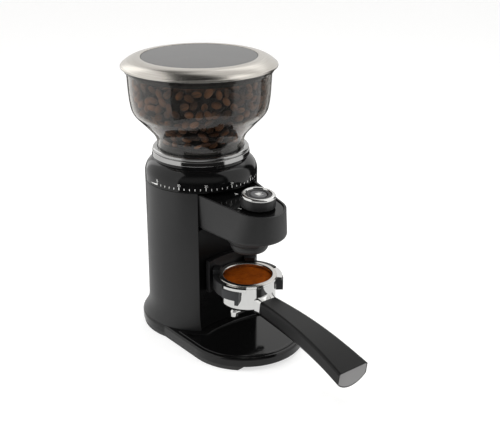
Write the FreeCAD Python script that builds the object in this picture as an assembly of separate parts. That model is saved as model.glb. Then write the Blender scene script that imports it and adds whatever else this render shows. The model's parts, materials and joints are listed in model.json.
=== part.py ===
import FreeCAD, Part
import math
import os

# A free-standing burr coffee grinder with its portafilter.
# The part is drawn about the column's vertical axis, with the table at height 0
# and the front towards -Y. Every piece is then moved back along +Y by COLUMN_Y,
# which puts the origin under the middle of the whole object.
# All lengths are millimetres.

V = FreeCAD.Vector

COLUMN_Y = 78.24
BIG = 150.0

# Column
COLUMN_R = 60.0
WALL = 2.5
FOOT_R = 65.2
FOOT_Y = 3.8
FLARE_TOP = 46.0
WRAP_BOTTOM = 13.5
WRAP_TOP = 168.3
FRONT_HALF_WIDTH = 38.2
RECESS_EDGE_Y = -46.2
RECESS_MIDDLE_Y = -41.0
RECESS_TOP = 127.5
GLAND_Z = 46.0

# Base
BASE_HALF_WIDTH = 63.0
BASE_FRONT_Y = -74.2
BASE_REAR_R = 65.6
BASE_BOTTOM = 4.6
BASE_TOP = 13.5
PLATE_BOTTOM = 2.8
RUNNER_GAP_LOW = 43.4
RUNNER_GAP_HIGH = 38.0
TRAY_HALF_WIDTH = 58.6
TRAY_FLOOR = 9.0
TRAY_TOP = 14.3
TRAY_REAR_R = 70.0
TRAY_REAR_OFFSET = 9.0

# Head, which carries the knob and the grounds spout
HEAD_BOTTOM = 127.9
HEAD_ROOT_Y = -41.0
HEAD_LOW_R = 33.4
HEAD_LOW_Y = -91.0
HEAD_LOW_TAPER = 1.8
HEAD_TOP_R = 27.2
HEAD_TOP_Y = -98.6
HEAD_TOP_TAPER = 10.0
HEAD_TILT = 5.15
HEAD_TOP_Z = 166.3
HEAD_TOP_Z_AT_Y = -46.0
HEAD_WALL = 2.5
FUNNEL_Y = -82.7
FUNNEL_R = 19.5
FUNNEL_TOP = 131.0

# Knob and start button, on an axis square to the sloping top of the head
KNOB_Y = -96.0
KNOB_R = 17.6
KNOB_FOOT = 1.3
KNOB_TOP = 13.4
BUTTON_R = 8.6

# Hopper, collar and grind-setting ring, all about the column axis
RING_BOTTOM = 168.9
DOME_START = 176.0
DOME_TOP = 191.0
DOME_TOP_R = 50.5
COLLAR_BOTTOM = 193.8
COLLAR_TOP = 203.0
COLLAR_R = 52.0
COLLAR_BORE = 46.4
HOPPER_WALL = 3.0
HOPPER_TOP = 287.6
HOPPER_LIP_R = 77.6
HOPPER_NECK_R = 46.0
HOPPER_THROAT_R = 20.0
HOPPER_BOTTOM = 196.0
HOPPER_FLOOR = 198.4
FUNNEL_RIM = 211.0
FUNNEL_THROAT_R = 16.0
BEANS_TOP = 279.4
LID_R = 81.6
LID_BOTTOM = 289.0
WINDOW_R = 60.6
WINDOW_TOP = 298.5

# Burrs and their shaft
SHAFT_R = 3.96
BEARING_BORE = 4.0
BEARING_R = 11.0
BEARING_WIDTH = 7.0
BURR_R = 26.0
CONE_TOP = 183.5
SHAFT_TOP = 186.5

# Gear train: motor pinion, compound idler, output gear
PRESSURE_ANGLE = math.radians(25.0)
PINION_TEETH = 12
IDLER_TEETH = 40
IDLER_SMALL_TEETH = 14
OUTPUT_TEETH = 54
FAST_MODULE = 0.8
SLOW_MODULE = 1.0
IDLER_ANGLE = math.radians(28.0)
MOTOR_ANGLE = math.radians(162.0)
SLOW_CENTRES = SLOW_MODULE * (IDLER_SMALL_TEETH + OUTPUT_TEETH) / 2.0
FAST_CENTRES = FAST_MODULE * (PINION_TEETH + IDLER_TEETH) / 2.0
IDLER_X = SLOW_CENTRES * math.cos(IDLER_ANGLE)
IDLER_Y = SLOW_CENTRES * math.sin(IDLER_ANGLE)
MOTOR_X = IDLER_X + FAST_CENTRES * math.cos(MOTOR_ANGLE)
MOTOR_Y = IDLER_Y + FAST_CENTRES * math.sin(MOTOR_ANGLE)
AXLE_R = 3.0
MOTOR_R = 22.0
MOTOR_SHAFT_R = 2.5
MOTOR_HOLE_R = 9.0
MOTOR_TOP = 98.0
MOTOR_BOTTOM = 34.0
CASE_R = 54.5
FRAME_BOTTOM = 100.0
CASE_BOTTOM = 104.0
CASE_TOP = 128.0
COVER_TOP = 131.0

# Portafilter, its basket and the fork that holds it
CUP_Y = -79.7
CUP_R = 29.3
RIM_R = 30.5
RIM_TOP = 81.0
CUP_BOTTOM = 50.0
SPOUT_Z = 42.6
SPOUT_R = 4.2
SPOUT_BORE = 3.0
OUTLET_R = 7.6
OUTLET_BORE = 4.0
OUTLET_BOTTOM = 47.0
SPOUT_SPREAD = 36.0
BASKET_R = 26.2
GROUNDS_TOP = 77.2
FORK_BOTTOM = 66.5
FORK_STEP = 76.0
FORK_TOP = 80.0
FORK_R = 36.0
FORK_INNER_R = 31.1
LUG_R = 36.2
ARM_R = 37.2
ARM_INNER_R = 29.9
FORK_END_ANGLE = 6.0
ARM_END_ANGLE = 37.0
PLUNGER_Z = 62.6
HANDLE_START = (-112.0, 53.4)
HANDLE_END = (-237.1, 35.2)
HANDLE_CORNER = 2.6
HANDLE_LIFT = 0.9
HANDLE_END_LIFT = -2.2
HANDLE_END_WIDTH = 37.2
HANDLE_END_HEIGHT = 20.9
NECK_WIDTH = 21.4
NECK_HEIGHT = 21.4
CAP_BORDER = 1.1
CAP_DEPTH = 2.4


def vertical(z):
    """Place a plan point at one height."""
    return lambda p: V(p[0], p[1], z)


def radial(p):
    """Place a (radius, height) point in the XZ plane."""
    return V(p[0], 0.0, p[1])


def sloping(p):
    """Place a plan point on the sloping top plane of the head."""
    return V(p[0], p[1], head_top_z(p[1]))


def head_top_z(y):
    drop = math.tan(math.radians(HEAD_TILT)) * (HEAD_TOP_Z_AT_Y - y)
    return HEAD_TOP_Z - drop


def wire(start, steps, place):
    """Closed outline: a step is an end point, or a (through, end) pair for an arc."""
    edges = []
    here = start
    for step in steps:
        if isinstance(step[0], tuple):
            through, end = step
            edges.append(Part.Arc(place(here), place(through), place(end)).toShape())
        else:
            end = step
            edges.append(Part.LineSegment(place(here), place(end)).toShape())
        here = end
    return Part.Wire(edges)


def polygon(points, place):
    return Part.makePolygon([place(p) for p in points] + [place(points[0])])


def prism(outline, height):
    return Part.Face(outline).extrude(V(0, 0, height))


def turned(outline, x=0.0, y=0.0):
    """Solid of revolution about the vertical axis through (x, y)."""
    solid = Part.Face(outline).revolve(V(0, 0, 0), V(0, 0, 1), 360)
    solid.translate(V(x, y, 0))
    return solid


def turned_points(points, x=0.0, y=0.0):
    return turned(polygon(points, radial), x, y)


def cylinder(radius, z0, z1, x=0.0, y=0.0):
    return Part.makeCylinder(radius, z1 - z0, V(x, y, z0))


def tube(outer, inner, z0, z1, x=0.0, y=0.0):
    return cylinder(outer, z0, z1, x, y).cut(cylinder(inner, z0 - 1, z1 + 1, x, y))


def block(x0, x1, y0, y1, z0, z1):
    return Part.makeBox(x1 - x0, y1 - y0, z1 - z0, V(x0, y0, z0))


def sector(outer, inner, z0, z1, angle0, angle1, x=0.0, y=0.0):
    """Ring sector between two angles in degrees, counted from +X towards +Y."""
    solid = Part.makeCylinder(outer, z1 - z0, V(x, y, z0), V(0, 0, 1), angle1 - angle0)
    solid.rotate(V(x, y, 0), V(0, 0, 1), angle0)
    return solid.cut(cylinder(inner, z0 - 1, z1 + 1, x, y))


def joined(solids):
    first = solids[0]
    return first.multiFuse(solids[1:]).removeSplitter()


def group(solids):
    return Part.makeCompound(solids)


def rounded(solid, radius, wanted):
    """Round the edges that pass a test."""
    edges = [edge for edge in solid.Edges if wanted(edge)]
    return solid.makeFillet(radius, edges)


def at_height(z, tolerance=0.01):
    def test(edge):
        box = edge.BoundBox
        return abs(box.ZMin - z) < tolerance and abs(box.ZMax - z) < tolerance
    return test


# ---------------------------------------------------------------- base

def base_outline(inset, z):
    """Straight sides, a round front and a rear that follows the column's foot."""
    half = BASE_HALF_WIDTH - inset
    rear = BASE_REAR_R - inset
    side_y = FOOT_Y - math.sqrt(rear * rear - half * half)
    front = (0.0, BASE_FRONT_Y - half)
    back = (0.0, FOOT_Y + rear)
    steps = [
        (front, (half, BASE_FRONT_Y)),
        (half, side_y),
        (back, (-half, side_y)),
        (-half, BASE_FRONT_Y),
    ]
    return wire((-half, BASE_FRONT_Y), steps, vertical(z))


def recess_zone(offset, z0, z1, half_width=FRONT_HALF_WIDTH):
    """Space in front of the concave face of the column, moved forward by offset."""
    edge_y = RECESS_EDGE_Y - offset
    middle_y = RECESS_MIDDLE_Y - offset
    far = -160.0
    steps = [
        ((0.0, middle_y), (half_width, edge_y)),
        (half_width, far),
        (-half_width, far),
        (-half_width, edge_y),
    ]
    return prism(wire((-half_width, edge_y), steps, vertical(z0)), z1 - z0)


def tray_blank(half, gap, z0, z1):
    """Round-fronted plate whose rear edge follows the foot of the column."""
    radius = TRAY_REAR_R + gap

    def on_foot(x):
        return (x, FOOT_Y - math.sqrt(radius * radius - x * x))
    corner = on_foot(FRONT_HALF_WIDTH)
    side = on_foot(half)
    between = on_foot(0.5 * (half + FRONT_HALF_WIDTH))
    middle = (0.0, RECESS_MIDDLE_Y - TRAY_REAR_OFFSET - gap)
    front = (0.0, BASE_FRONT_Y - half)
    left_corner, left_side, left_between = [(-p[0], p[1]) for p in (corner, side, between)]
    steps = [
        (front, (half, BASE_FRONT_Y)),
        side,
        (between, corner),
        (middle, left_corner),
        (left_between, left_side),
        (-half, BASE_FRONT_Y),
    ]
    return prism(wire((-half, BASE_FRONT_Y), steps, vertical(z0)), z1 - z0)


def screw_places():
    return [(-52.0, -18.0), (52.0, -18.0), (-40.0, 36.0), (40.0, 36.0), (-34.0, -104.0), (34.0, -104.0)]


def base_screw(x, y):
    head = cylinder(3.0, PLATE_BOTTOM, PLATE_BOTTOM + 1.2, x, y)
    return head.fuse(cylinder(1.5, PLATE_BOTTOM + 1.2, 8.7, x, y))


def base_screws():
    return group([base_screw(x, y) for x, y in screw_places()])


def base_shell():
    shell = prism(base_outline(0.0, BASE_BOTTOM), BASE_TOP - BASE_BOTTOM)
    shell = rounded(shell, 2.4, at_height(BASE_TOP))
    shell = shell.cut(prism(base_outline(WALL + 4.8, BASE_BOTTOM - 1), 2.5))
    shell = shell.cut(cylinder(48.0, BASE_BOTTOM, BASE_TOP - 2.5))
    shell = shell.cut(cylinder(30.0, BASE_BOTTOM, BASE_TOP + 1))
    shell = shell.cut(tray_blank(TRAY_HALF_WIDTH + 0.3, 0.0, TRAY_FLOOR - 0.3, BASE_TOP + 1))
    bosses = [cylinder(3.6, BASE_BOTTOM, TRAY_FLOOR - 0.2, x, y) for x, y in screw_places()]
    shell = joined([shell] + bosses)
    return shell.cut(base_screws())


def bottom_plate():
    plate = prism(base_outline(WALL + 5.2, PLATE_BOTTOM), BASE_BOTTOM - PLATE_BOTTOM)
    for row in range(7):
        y = -2.0 + 5.0 * row
        plate = plate.cut(block(-16.0, 16.0, y, y + 2.0, PLATE_BOTTOM - 1, BASE_BOTTOM + 1))
    return plate.cut(base_screws())


def rubber_feet():
    """Two long runners that follow the edge of the base on each side."""
    band = prism(base_outline(1.2, 0.0), BASE_BOTTOM)
    band = band.cut(prism(base_outline(WALL + 4.9, -1.0), BASE_BOTTOM + 2))
    ends = [
        V(-RUNNER_GAP_LOW, -BIG, 0.0),
        V(RUNNER_GAP_LOW, -BIG, 0.0),
        V(RUNNER_GAP_HIGH, -BIG, BASE_BOTTOM),
        V(-RUNNER_GAP_HIGH, -BIG, BASE_BOTTOM),
    ]
    gap = Part.Face(Part.makePolygon(ends + [ends[0]])).extrude(V(0, 2 * BIG, 0))
    return group(band.cut(gap).Solids)


def catch_tray():
    tray = tray_blank(TRAY_HALF_WIDTH, 0.3, TRAY_FLOOR, TRAY_TOP)
    pocket = tray_blank(TRAY_HALF_WIDTH - 3.4, 3.7, TRAY_TOP - 1.8, TRAY_TOP + 1)
    tray = tray.cut(pocket)
    return rounded(tray, 0.7, at_height(TRAY_TOP))


# ---------------------------------------------------------------- column

def foot_solid(inset):
    """The column with its foot, which flares out to a wider circle set further back."""
    flare = [
        (0.0, FLARE_TOP),
        (0.0, 38.0),
        (0.03, 31.0),
        (0.13, 26.4),
        (0.35, 21.4),
        (0.68, 16.5),
        (0.88, WRAP_BOTTOM),
    ]
    circles = []
    for share, z in flare:
        radius = COLUMN_R + share * (FOOT_R - COLUMN_R) - inset
        ring = Part.Circle(V(0, share * FOOT_Y, z), V(0, 0, 1), radius)
        circles.append(Part.Wire(ring.toShape()))
    foot = Part.makeLoft(circles, True, False)
    return joined([foot, cylinder(COLUMN_R - inset, FLARE_TOP, WRAP_TOP)])


def column_wrap():
    wrap = foot_solid(0.0).cut(foot_solid(WALL))
    front = block(-FRONT_HALF_WIDTH, FRONT_HALF_WIDTH, -90.0, 0.0, 0.0, 200.0)
    wrap = wrap.cut(front)
    return wrap.cut(gland_body(5.5, 40.0))


def recess_panel():
    """Concave front wall of the column below the head."""
    half = FRONT_HALF_WIDTH - 0.3
    front = recess_zone(0.0, WRAP_BOTTOM, RECESS_TOP, half)
    back = recess_zone(-WALL, WRAP_BOTTOM, RECESS_TOP, half)
    panel = back.cut(front)
    panel = panel.common(block(-half, half, -60.0, 0.0, WRAP_BOTTOM, RECESS_TOP))
    return panel.cut(plunger_pin(0.4))


def top_deck():
    """Plate that closes the column under the grind-setting ring."""
    deck = tube(57.2, 34.0, 162.0, 165.0)
    rim = tube(57.2, 52.0, 165.0, WRAP_TOP)
    deck = deck.fuse(rim)
    deck = deck.cut(block(-39.0, 39.0, -BIG, HEAD_ROOT_Y, 160.0, 170.0))
    deck = deck.fuse(block(-33.5, 33.5, HEAD_ROOT_Y, HEAD_ROOT_Y + 2.0, 162.0, WRAP_TOP))
    posts = [cylinder(3.5, COVER_TOP, 162.0, x, y) for x, y in post_places()]
    return joined([deck] + posts)


def on_circle(radius, degrees, x=0.0, y=0.0):
    """Plan points on a circle at the given angles."""
    angles = [math.radians(d) for d in degrees]
    return [(x + radius * math.cos(a), y + radius * math.sin(a)) for a in angles]


def post_places():
    return on_circle(44.0, (5.0, 92.0, 175.0))


def inner_frame():
    """Plate under the gearbox on three legs that stand on the base."""
    plate = cylinder(55.0, FRAME_BOTTOM, CASE_BOTTOM)
    plate = plate.cut(block(-BIG, BIG, -BIG, -35.5, 90.0, 110.0))
    plate = plate.cut(cylinder(MOTOR_HOLE_R, 90.0, 110.0, MOTOR_X, MOTOR_Y))
    places = on_circle(50.0, (-8.0, 96.0, 188.0))
    legs = [cylinder(3.5, BASE_TOP, FRAME_BOTTOM, x, y) for x, y in places]
    feet = [cylinder(6.0, BASE_TOP, BASE_TOP + 3, x, y) for x, y in places]
    frame = joined([plate] + legs + feet)
    return frame.cut(gearbox_screws())


def gland_body(radius, y0):
    return Part.makeCylinder(radius, 61.8 - y0, V(0, y0, GLAND_Z), V(0, 1, 0))


def cable_gland():
    """Cable inlet at the foot of the rear wall."""
    body = gland_body(5.5, 54.0)
    flange = Part.makeCylinder(7.4, 1.7, V(0, 60.1, GLAND_Z), V(0, 1, 0))
    nut = Part.makeCylinder(7.0, 2.4, V(0, 54.4, GLAND_Z), V(0, 1, 0))
    body = joined([body, flange, nut])
    return body.cut(Part.makeCylinder(3.3, 30.0, V(0, 50.0, GLAND_Z), V(0, 1, 0)))


def power_board():
    board = block(-38.0, 38.0, -26.0, 24.0, 18.0, 19.6)
    parts = [
        block(-32.0, -10.0, -20.0, 2.0, 19.6, 33.0),
        block(-4.0, 12.0, -20.0, -8.0, 19.6, 28.0),
        block(-30.0, -12.0, 8.0, 20.0, 19.6, 25.0),
        cylinder(6.0, 19.6, 34.0, 26.0, -14.0),
        block(18.0, 34.0, 8.0, 18.0, 19.6, 29.0),
    ]
    stands = [cylinder(2.5, BASE_TOP, 18.0, x, y) for x in (-34.0, 34.0) for y in (-22.0, 20.0)]
    return joined([board] + parts + stands)


# ---------------------------------------------------------------- head

def tongue(radius, centre_y, taper, root_y, inset, place):
    """Plan outline with two nearly straight sides that run into a round front."""
    r = radius - inset
    t = math.radians(taper)
    touch = (r * math.cos(t), centre_y - r * math.sin(t))
    root_x = touch[0] + (root_y - touch[1]) * math.tan(t)
    left = (-touch[0], touch[1])
    steps = [left, ((0.0, centre_y - r), touch), (root_x, root_y), (-root_x, root_y)]
    return wire((-root_x, root_y), steps, place)


def low_tongue(inset, z, root_y=HEAD_ROOT_Y):
    return tongue(HEAD_LOW_R, HEAD_LOW_Y, HEAD_LOW_TAPER, root_y, inset, vertical(z))


def top_tongue(inset, rise, root_y=HEAD_ROOT_Y):
    outline = tongue(HEAD_TOP_R, HEAD_TOP_Y, HEAD_TOP_TAPER, root_y, inset, sloping)
    outline.translate(V(0, 0, rise))
    return outline


def head_housing():
    solid = Part.makeLoft([low_tongue(0.0, HEAD_BOTTOM), top_tongue(0.0, 0.0)], True, True)
    root = HEAD_ROOT_Y

    def low_edge(edge):
        return at_height(HEAD_BOTTOM)(edge) and edge.BoundBox.YMin < root - 1.0
    solid = rounded(solid, 4.5, low_edge)
    floor = low_tongue(HEAD_WALL, HEAD_BOTTOM + HEAD_WALL, root + 3.0)
    mouth = top_tongue(HEAD_WALL, 3.0, root + 3.0)
    solid = solid.cut(Part.makeLoft([floor, mouth], True, True))
    return solid.cut(cylinder(FUNNEL_R + 0.1, HEAD_BOTTOM - 1, HEAD_BOTTOM + 5, 0.0, FUNNEL_Y))


def head_top_panel():
    """Cover plate let into the top of the head, just below its edge."""
    outlines = [top_tongue(HEAD_WALL + 0.4, -3.2), top_tongue(HEAD_WALL + 0.4, -1.1)]
    panel = Part.makeLoft(outlines, True, True)
    return panel.cut(on_knob_axis(cylinder(4.0, -8.0, 4.0)))


def spout_skirt():
    """Stepped round funnel that guides the grounds down into the basket."""
    start = (FUNNEL_R, FUNNEL_TOP)
    steps = [
        (FUNNEL_R, HEAD_BOTTOM - 0.2),
        (24.0, HEAD_BOTTOM - 0.2),
        ((23.2, 122.4), (20.4, 118.6)),
        (19.5, 118.3),
        ((19.0, 113.0), (17.6, 110.9)),
        ((17.0, 110.5), (16.3, 110.6)),
        (15.4, 111.6),
        ((18.0, 118.6), (17.2, FUNNEL_TOP)),
        start,
    ]
    return turned(wire(start, steps, radial), 0.0, FUNNEL_Y)


def side_view(points, half_width):
    """Solid of one width, centred on the middle plane, from its (y, height) outline."""
    outline = Part.makePolygon([V(-half_width, y, z) for y, z in points + [points[0]]])
    return Part.Face(outline).extrude(V(2 * half_width, 0, 0))


def grounds_chute():
    """Sloping duct from the grinding chamber to the spout."""
    low = FUNNEL_TOP + 0.2
    outer = [
        (-36.6, 156.0),
        (-66.0, 153.0),
        (-92.0, 141.0),
        (-92.0, low),
        (-64.0, low),
        (-36.6, 139.0),
    ]
    inner = [
        (-30.0, 154.5),
        (-65.7, 151.4),
        (-90.4, 140.0),
        (-90.4, 120.0),
        (-68.0, 120.0),
        (-66.0, 132.6),
        (-30.0, 142.4),
    ]
    return side_view(outer, 12.0).cut(side_view(inner, 10.4))


def on_knob_axis(solid):
    """Move a solid drawn about the Z axis onto the knob's tilted axis."""
    moved = solid.copy()
    moved.rotate(V(0, 0, 0), V(1, 0, 0), HEAD_TILT)
    moved.translate(V(0, KNOB_Y, head_top_z(KNOB_Y)))
    return moved


def timer_board():
    """Control board with the turning control that the knob's shaft drives."""
    board = block(-15.0, 15.0, -12.0, 30.0, -7.2, -5.6)
    chip = block(-6.0, 6.0, 16.0, 26.0, -5.6, -4.0)
    body = cylinder(7.0, -13.0, -5.0)
    bush = cylinder(3.9, -5.0, 0.6)
    return on_knob_axis(joined([board, chip, body, bush]).cut(cylinder(2.6, -9.0, 2.0)))


def timer_knob():
    start = (17.0, KNOB_FOOT)
    steps = [
        (18.2, KNOB_FOOT),
        (KNOB_R, KNOB_TOP - 2.4),
        (KNOB_R - 0.5, KNOB_TOP - 2.4),
        (KNOB_R - 0.5, KNOB_TOP - 3.6),
        (13.2, KNOB_TOP - 3.6),
        (13.2, KNOB_TOP - 0.9),
        (10.2, KNOB_TOP - 0.9),
        (BUTTON_R + 0.3, KNOB_TOP - 1.7),
        (BUTTON_R + 0.3, KNOB_TOP - 7.5),
        (0.0, KNOB_TOP - 7.5),
        (0.0, -8.8),
        (2.55, -8.8),
        (2.55, 2.6),
        (15.6, 2.6),
        (15.6, KNOB_FOOT),
        start,
    ]
    return on_knob_axis(turned(wire(start, steps, radial)))


def knob_bezel():
    """Bright ring pressed round the top of the knob."""
    start = (13.2, KNOB_TOP - 3.6)
    steps = [
        (KNOB_R - 0.5, KNOB_TOP - 3.6),
        (KNOB_R - 0.5, KNOB_TOP - 2.4),
        (KNOB_R, KNOB_TOP - 2.4),
        (KNOB_R, KNOB_TOP - 1.6),
        ((KNOB_R - 0.7, KNOB_TOP - 0.5), (15.4, KNOB_TOP)),
        (14.0, KNOB_TOP),
        (13.2, KNOB_TOP - 0.9),
        start,
    ]
    return on_knob_axis(turned(wire(start, steps, radial)))


def start_button():
    start = (0.0, KNOB_TOP - 3.4)
    steps = [
        (BUTTON_R - 0.2, KNOB_TOP - 3.4),
        (BUTTON_R - 0.2, KNOB_TOP - 5.2),
        (BUTTON_R, KNOB_TOP - 5.2),
        (BUTTON_R, KNOB_TOP - 1.6),
        ((BUTTON_R - 0.4, KNOB_TOP - 0.9), (BUTTON_R - 1.2, KNOB_TOP - 0.7)),
        (0.0, KNOB_TOP - 0.7),
        start,
    ]
    return on_knob_axis(turned(wire(start, steps, radial)))


def button_spring():
    """Wave spring under the button, drawn as the ring that it fills."""
    return on_knob_axis(tube(6.4, 5.4, KNOB_TOP - 7.4, KNOB_TOP - 3.5))


# ---------------------------------------------------------------- ring, hopper and lid

def grind_ring():
    start = (48.0, COLLAR_BOTTOM)
    arc_r = ((COLUMN_R - DOME_TOP_R) ** 2 + (DOME_TOP - DOME_START) ** 2) / (2 * (COLUMN_R - DOME_TOP_R))
    angle = 0.5 * math.asin((DOME_TOP - DOME_START) / arc_r)
    through = (COLUMN_R - arc_r + arc_r * math.cos(angle), DOME_START + arc_r * math.sin(angle))
    steps = [
        (DOME_TOP_R, COLLAR_BOTTOM),
        (DOME_TOP_R, DOME_TOP),
        (through, (COLUMN_R, DOME_START)),
        (COLUMN_R, RING_BOTTOM),
        (57.4, RING_BOTTOM),
        (57.4, 175.0),
        (50.0, 184.0),
        (48.0, 184.0),
        start,
    ]
    return turned(wire(start, steps, radial))


def chrome_collar():
    """Bright band with a groove and a rounded lip above it."""
    start = (COLLAR_BORE, 190.0)
    steps = [
        (47.9, 190.0),
        (47.9, COLLAR_BOTTOM),
        (COLLAR_R - 0.8, COLLAR_BOTTOM),
        ((COLLAR_R - 0.2, 194.1), (COLLAR_R, 194.8)),
        (COLLAR_R - 0.3, 198.2),
        ((COLLAR_R - 0.8, 198.9), (COLLAR_R - 1.8, 199.0)),
        (COLLAR_R - 1.8, 199.5),
        ((COLLAR_R - 0.9, 200.9), (COLLAR_R - 1.8, 202.4)),
        ((COLLAR_R - 2.6, 202.9), (COLLAR_R - 3.6, COLLAR_TOP)),
        (COLLAR_BORE, COLLAR_TOP),
        start,
    ]
    return turned(wire(start, steps, radial))


def upper_burr_carrier():
    """Cup that hangs the ring burr from the grind-setting ring."""
    points = [
        (47.9, 184.2),
        (47.9, 189.8),
        (44.0, 189.8),
        (44.0, 187.2),
        (30.0, 187.2),
        (22.0, 182.6),
        (22.0, 181.2),
        (BURR_R, 181.2),
        (BURR_R, 156.5),
        (32.4, 156.5),
        (32.4, 184.2),
    ]
    return turned_points(points)


def ring_burr():
    """Outer burr with cutting grooves in its tapered bore."""
    outer = BURR_R - 0.05
    burr = turned_points([
        (20.6, 181.0),
        (outer, 181.0),
        (outer, 157.5),
        (19.4, 157.5),
        (17.4, 161.0),
    ])
    grooves = []
    for index in range(24):
        groove = block(15.0, 21.4, -0.7, 0.7, 157.0, 182.0)
        groove.rotate(V(0, 0, 0), V(0, 1, 0), 3.0)
        groove.rotate(V(0, 0, 0), V(0, 0, 1), 15.0 * index)
        grooves.append(groove)
    return burr.cut(group(grooves))


def cone_burr():
    """Inner burr: coarse crushing flutes above, fine grooves below."""
    cone = turned_points([
        (SHAFT_R, 158.0),
        (16.4, 158.0),
        (16.4, 161.0),
        (11.5, 176.0),
        (6.8, CONE_TOP),
        (SHAFT_R, CONE_TOP),
    ])
    cuts = []
    for index in range(6):
        flute = block(7.6, 18.0, -2.2, 0.6, 166.0, 190.0)
        flute.rotate(V(0, 0, 170.0), V(1, 0, 0), 18.0)
        flute.rotate(V(0, 0, 0), V(0, 0, 1), 60.0 * index)
        cuts.append(flute)
    for index in range(30):
        groove = block(15.4, 18.0, -0.5, 0.5, 157.0, 170.0)
        groove.rotate(V(0, 0, 0), V(0, 0, 1), 12.0 * index)
        cuts.append(groove)
    return cone.cut(group(cuts))


def burr_nut():
    """Cap nut that clamps the cone burr on its shaft."""
    hexagon = on_circle(7.0, range(0, 360, 60))
    nut = prism(polygon(hexagon, vertical(CONE_TOP)), 4.0)
    return nut.cut(cylinder(SHAFT_R, 180.0, SHAFT_TOP))


def burr_shaft():
    return cylinder(SHAFT_R, 107.4, SHAFT_TOP)


def sweep_wheel():
    """Wheel that pushes the grounds round to the chute."""
    hub = cylinder(9.0, 143.0, 157.8)
    plate = cylinder(17.0, 143.0, 145.0)
    blades = []
    for index in range(4):
        blade = block(8.0, 31.0, -1.2, 1.2, 143.0, 151.0)
        blade.rotate(V(0, 0, 0), V(0, 0, 1), 45.0 + 90.0 * index)
        blades.append(blade)
    return joined([hub, plate] + blades).cut(cylinder(SHAFT_R, 140.0, 160.0))


def grinding_chamber():
    wall = tube(36.0, 33.0, COVER_TOP, 158.0)
    floor = tube(34.0, 9.4, 139.5, 142.5)
    chamber = wall.fuse(floor)
    return chamber.cut(block(-10.4, 10.4, -40.0, -25.0, 142.6, 154.4))


def chamber_seal():
    """Felt washer that keeps the grounds off the upper bearing."""
    return tube(9.4, SHAFT_R + 0.06, 139.5, 142.2)


def hopper_curve():
    """Outside of the hopper from its mouth down to its neck, as (radius, height)."""
    return [
        (75.9, 284.0),
        (74.6, 265.0),
        (73.0, 250.0),
        (70.2, 240.6),
        (64.3, 233.8),
        (55.6, 224.6),
        (48.2, 215.4),
        (HOPPER_NECK_R, 207.0),
    ]


def offset_points(points, distance):
    """Move a run of points sideways by a distance, towards the axis."""
    moved = []
    for index, (r, z) in enumerate(points):
        before = points[max(index - 1, 0)]
        after = points[min(index + 1, len(points) - 1)]
        dr = after[0] - before[0]
        dz = after[1] - before[1]
        length = math.hypot(dr, dz)
        moved.append((r + distance * dz / length, z - distance * dr / length))
    return moved


def smooth(points):
    curve = Part.BSplineCurve()
    curve.interpolate([radial(p) for p in points])
    return curve.toShape()


def line(p, q):
    return Part.LineSegment(radial(p), radial(q)).toShape()


def hopper():
    outer = hopper_curve()
    inner = offset_points(outer, HOPPER_WALL)
    mouth_r = inner[0][0]
    neck_r = inner[-1][0]
    corners = [
        outer[-1],
        (HOPPER_NECK_R, HOPPER_BOTTOM),
        (HOPPER_THROAT_R, HOPPER_BOTTOM),
        (HOPPER_THROAT_R, HOPPER_FLOOR),
        (neck_r, HOPPER_FLOOR),
        inner[-1],
    ]
    mouth = [
        inner[0],
        (mouth_r, HOPPER_TOP),
        (HOPPER_LIP_R, HOPPER_TOP),
        (HOPPER_LIP_R, 284.4),
        outer[0],
    ]
    edges = [smooth(outer), smooth(inner)]
    edges += [line(p, q) for p, q in zip(corners, corners[1:])]
    edges += [line(p, q) for p, q in zip(mouth, mouth[1:])]
    return turned(Part.Wire(Part.__sortEdges__(edges)))


def funnel_slope(gap):
    """Sloping upper outline of the funnel in the hopper's neck, moved up by a gap."""
    return [(HOPPER_NECK_R - 4.6, FUNNEL_RIM + gap), (FUNNEL_THROAT_R, FUNNEL_RIM - 8.0 + gap)]


def hopper_funnel():
    """Dark insert in the neck that leads the beans to the throat."""
    side = HOPPER_NECK_R - HOPPER_WALL - 0.4
    low = HOPPER_FLOOR + 0.2
    outline = [(side, low), (side, FUNNEL_RIM)] + funnel_slope(0.0) + [(FUNNEL_THROAT_R, low)]
    return turned_points(outline)


def coffee_beans():
    """The heap of beans, drawn as one solid with a slightly domed top."""
    inner = offset_points(hopper_curve(), HOPPER_WALL + 0.4)
    foot = (inner[-1][0], FUNNEL_RIM - 9.0)
    crown = (0.0, BEANS_TOP)
    edges = [smooth(inner[1:])]
    shoulder = (inner[1][0] - 0.4, BEANS_TOP - 3.4)
    rest = [inner[-1], foot, (0.0, foot[1]), crown]
    edges += [line(p, q) for p, q in zip(rest, rest[1:])]
    edges.append(Part.Arc(radial(crown), radial((40.0, BEANS_TOP - 1.0)), radial(shoulder)).toShape())
    edges.append(line(shoulder, inner[1]))
    heap = turned(Part.Wire(Part.__sortEdges__(edges)))
    gap = 0.4
    slope = funnel_slope(gap)
    below = [(0.0, 190.0), (60.0, 190.0), (60.0, FUNNEL_RIM + gap)] + slope + [(0.0, slope[-1][1])]
    return heap.cut(turned_points(below))


def lid_rim():
    """Domed metal ring that carries the window."""
    start = (LID_R, LID_BOTTOM)
    steps = [
        ((LID_R, LID_BOTTOM + 1.2), (LID_R - 1.0, LID_BOTTOM + 2.2)),
        ((72.4, 296.8), (62.6, WINDOW_TOP + 0.5)),
        (WINDOW_R + 0.3, WINDOW_TOP + 0.1),
        (WINDOW_R + 0.3, WINDOW_TOP - 3.2),
        ((72.0, 293.0), (LID_R - 1.4, LID_BOTTOM)),
        start,
    ]
    return turned(wire(start, steps, radial))


def lid_window():
    window = cylinder(WINDOW_R, WINDOW_TOP - 2.6, WINDOW_TOP)
    return rounded(window, 0.5, at_height(WINDOW_TOP))


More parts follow.
